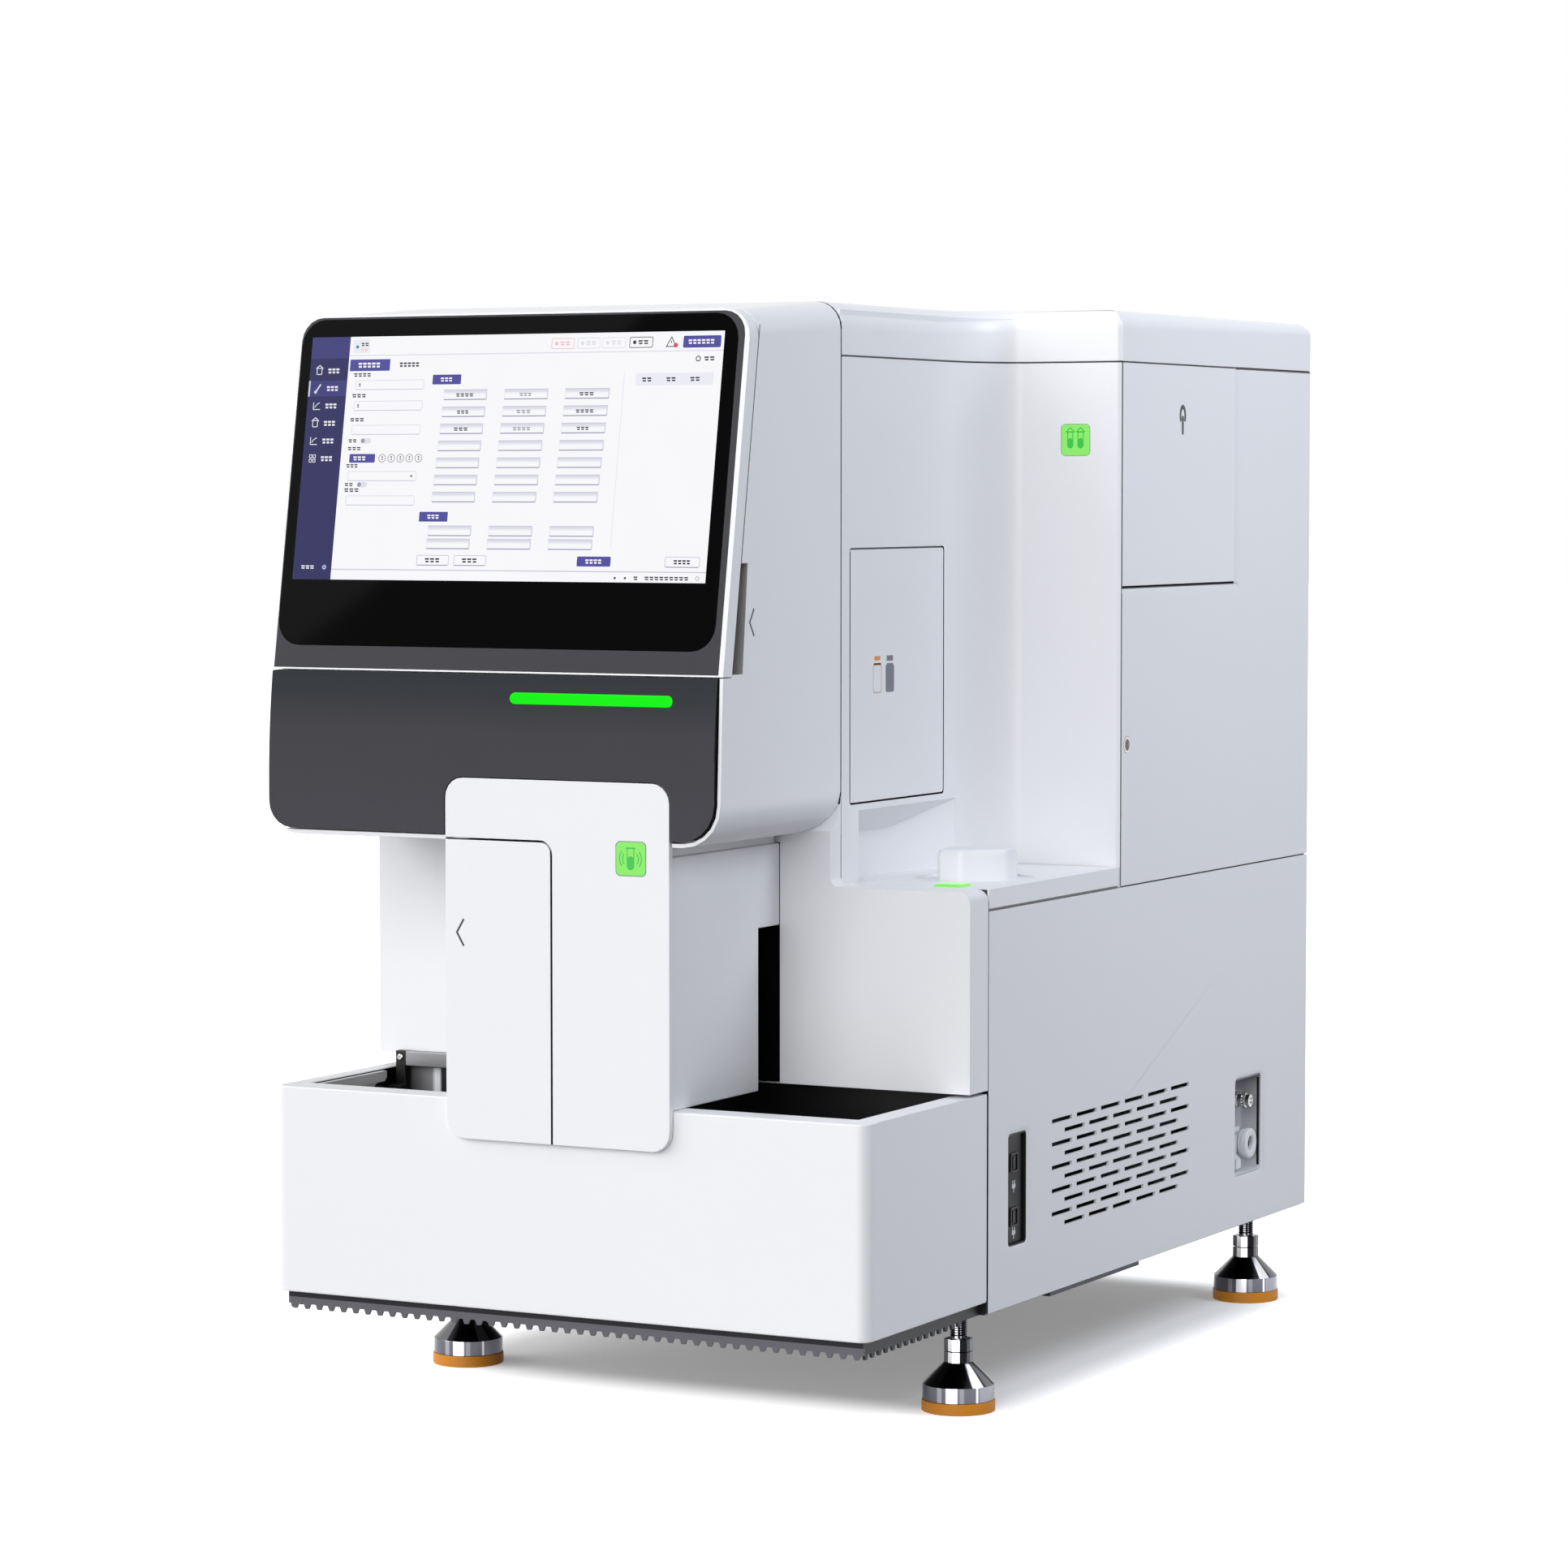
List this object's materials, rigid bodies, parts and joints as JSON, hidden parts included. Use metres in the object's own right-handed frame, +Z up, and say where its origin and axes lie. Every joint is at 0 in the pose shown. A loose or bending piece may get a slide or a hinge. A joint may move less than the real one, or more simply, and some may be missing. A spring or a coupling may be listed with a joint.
{
  "type": "immunoassay analyzer",
  "caption": "Laboratory immunoassay analyzer with a leaning touch screen over a front sample tray, service doors, a reagent lid and levelling feet.",
  "frame": {"origin": "middle of the footprint, on the floor under the feet", "axes": "+X to the right seen from the front, +Y to the back, +Z up"},
  "size_m": [0.68, 1.1486, 1.131],
  "materials": {
    "cover_plastic": "smooth, slightly glossy white moulding",
    "cover_metal": "fine satin white paint",
    "charcoal_plastic": "satin charcoal",
    "screen_glass": "polished black cover glass over a lit display",
    "status_green": "lit translucent green",
    "bar_green": "lit bright green diffuser",
    "base_metal": "dark grey powder coat",
    "foot_rubber": "orange rubber",
    "foot_steel": "plated and turned steel",
    "deck_black": "black, fine grain",
    "plain_alloy": "brushed, clear anodised",
    "pusher_steel": "satin",
    "liner_plastic": "light grey, matt",
    "pump_grey": "cast, painted grey",
    "supply_case": "folded grey case",
    "bottle_amber": "amber bottle",
    "bottle_grey": "dark grey bottle",
    "connector_chrome": "bright plated",
    "connector_white": "white nylon"
  },
  "bodies": {
    "chassis": {"base_pan": "base_metal", "sample_tray": "cover_plastic", "sample_deck": "deck_black", "column_shell": "cover_plastic", "column_front_panel": "cover_plastic", "status_light_column": "status_green", "wash_bottle": "liner_plastic", "lower_front_panel": "charcoal_plastic", "light_bar": "bar_green", "head_shell": "cover_plastic", "left_front_wall": "cover_plastic", "front_cover_right": "cover_plastic", "front_bulkhead": "deck_black", "upper_side_shell": "cover_plastic", "status_light_upper": "status_green", "bottle_bay": "liner_plastic", "bottle_a": "bottle_amber", "bottle_b": "bottle_grey", "top_cap": "cover_plastic", "side_panel_right": "cover_metal", "side_panel_left": "cover_metal", "port_bay": "deck_black", "connector_bay": "liner_plastic", "metal_connector": "connector_chrome", "ring_connector": "connector_white", "rear_panel": "cover_metal", "fan_frame": "deck_black", "mains_inlet": "deck_black", "mid_deck": "plain_alloy", "reagent_tub": "plain_alloy", "luminometer": "charcoal_plastic", "gantry_beam": "plain_alloy", "power_supply": "supply_case", "vacuum_pump": "pump_grey"},
    "screen": {"screen_shell": "cover_plastic", "screen_bezel": "charcoal_plastic", "screen_glass": "screen_glass"},
    "column_door": {"column_door": "cover_plastic"},
    "bottle_door": {"bottle_door": "cover_plastic"},
    "side_door": {"side_door": "cover_metal"},
    "side_door_lock": {"side_door_lock": "connector_chrome"},
    "push_door": {"push_door": "cover_metal", "cuvette_hopper": "liner_plastic"},
    "reagent_lid": {"reagent_lid": "cover_plastic", "status_light_lid": "status_green"},
    "rack_pusher": {"rack_pusher": "pusher_steel"},
    "reagent_carousel": {"reagent_carousel": "liner_plastic"},
    "incubator_ring": {"incubator_ring": "plain_alloy"},
    "fan_rotor": {"fan_rotor": "deck_black"},
    "mains_switch": {"mains_switch": "bottle_grey"},
    "probe_carriage": {"probe_carriage": "charcoal_plastic"},
    "probe_arm": {"probe_arm": "foot_steel"},
    "foot_1": {"foot_pad_1": "foot_rubber", "foot_stud_1": "foot_steel"},
    "foot_2": {"foot_pad_2": "foot_rubber", "foot_stud_2": "foot_steel"},
    "foot_3": {"foot_pad_3": "foot_rubber", "foot_stud_3": "foot_steel"},
    "foot_4": {"foot_pad_4": "foot_rubber", "foot_stud_4": "foot_steel"}
  },
  "joints": [
    {"name": "screen_hinge", "type": "hinge", "parent": "chassis", "child": "screen", "pos_m": [-0.34, -0.5475, 0.7584], "axis": [0, -0.165, -0.9863], "range_deg": [0, 75]},
    {"name": "column_door_hinge", "type": "hinge", "parent": "chassis", "child": "column_door", "pos_m": [-0.0071, -0.5737, 0.44], "axis": [0, 0, 1], "range_deg": [0, 100]},
    {"name": "bottle_door_hinge", "type": "hinge", "parent": "chassis", "child": "bottle_door", "pos_m": [0.1827, -0.075, 0.75], "axis": [0, 0, 1], "range_deg": [0, 95]},
    {"name": "side_door_hinge", "type": "hinge", "parent": "chassis", "child": "side_door", "pos_m": [0.34, 0.5743, 0.79], "axis": [0, 0, 1], "range_deg": [0, 110]},
    {"name": "lock_turn", "type": "hinge", "parent": "side_door", "child": "side_door_lock", "pos_m": [0.34, 0.0513, 0.668], "axis": [1, 0, 0], "range_deg": [0, 90]},
    {"name": "push_door_hinge", "type": "hinge", "parent": "chassis", "child": "push_door", "pos_m": [0.34, 0.1923, 0.8374], "axis": [0, 1, 0], "range_deg": [0, 35]},
    {"name": "lid_lift", "type": "slide", "parent": "chassis", "child": "reagent_lid", "axis": [0, 0, 1], "range_m": [0, 0.045]},
    {"name": "pusher_slide", "type": "slide", "parent": "chassis", "child": "rack_pusher", "axis": [0, -1, 0], "range_m": [0, 0.11]},
    {"name": "carousel_spin", "type": "hinge", "parent": "chassis", "child": "reagent_carousel", "pos_m": [0.17, -0.1317, 0.4], "axis": [0, 0, 1], "continuous": true},
    {"name": "incubator_spin", "type": "hinge", "parent": "chassis", "child": "incubator_ring", "pos_m": [-0.12, 0.1543, 0.536], "axis": [0, 0, 1], "continuous": true},
    {"name": "fan_spin", "type": "hinge", "parent": "chassis", "child": "fan_rotor", "pos_m": [-0.18, 0.5543, 0.33], "axis": [0, 1, 0], "continuous": true},
    {"name": "mains_rocker", "type": "hinge", "parent": "chassis", "child": "mains_switch", "pos_m": [0.21, 0.5698, 0.207], "axis": [-1, 0, 0], "range_deg": [0, 12]},
    {"name": "carriage_slide", "type": "slide", "parent": "chassis", "child": "probe_carriage", "axis": [1, 0, 0], "range_m": [-0.1, 0.2]},
    {"name": "probe_lift", "type": "slide", "parent": "probe_carriage", "child": "probe_arm", "axis": [0, 0, 1], "range_m": [0, 0.1]},
    {"name": "foot_turn_1", "type": "hinge", "parent": "chassis", "child": "foot_1", "pos_m": [0.2934, -0.2652, 0], "axis": [0, 0, 1], "continuous": true},
    {"name": "foot_turn_2", "type": "hinge", "parent": "chassis", "child": "foot_2", "pos_m": [-0.2934, -0.2652, 0], "axis": [0, 0, 1], "continuous": true},
    {"name": "foot_turn_3", "type": "hinge", "parent": "chassis", "child": "foot_3", "pos_m": [-0.2934, 0.5069, 0], "axis": [0, 0, 1], "continuous": true},
    {"name": "foot_turn_4", "type": "hinge", "parent": "chassis", "child": "foot_4", "pos_m": [0.2934, 0.5069, 0], "axis": [0, 0, 1], "continuous": true}
  ]
}
